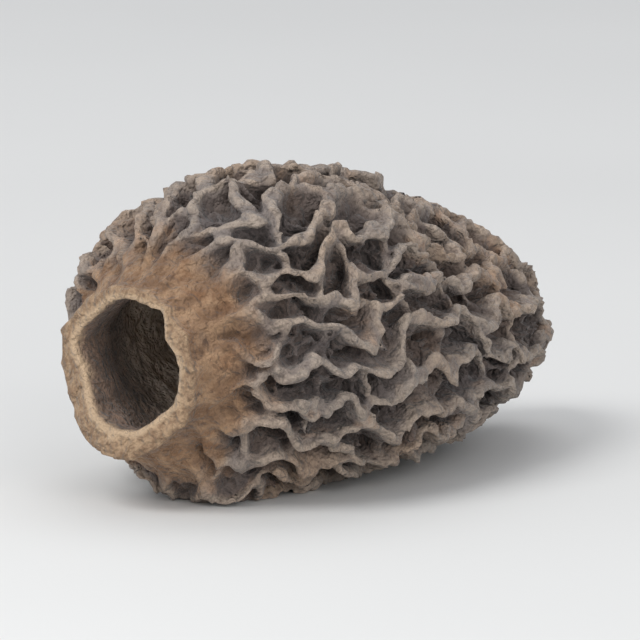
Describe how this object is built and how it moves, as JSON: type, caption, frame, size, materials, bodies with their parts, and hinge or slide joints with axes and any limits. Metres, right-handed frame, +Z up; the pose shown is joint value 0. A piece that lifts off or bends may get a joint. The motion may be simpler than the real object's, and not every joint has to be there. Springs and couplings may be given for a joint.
{
  "type": "dried morel mushroom",
  "caption": "Whole dried morel lying on its side: a conical cap of ridges and pits on a short cut stem, hollow from the cut end almost to the tip.",
  "frame": {"origin": "centre of the footprint, at the level of the surface that the mushroom lies on", "axes": "+X from the cut end of the stem to the tip of the cap, +Z up, +Y to the left of a viewer who looks along +X"},
  "size_m": [0.0304, 0.0172, 0.015],
  "materials": {
    "dried_flesh": "matte"
  },
  "bodies": {
    "root": {"morel": "dried_flesh"}
  },
  "joints": []
}
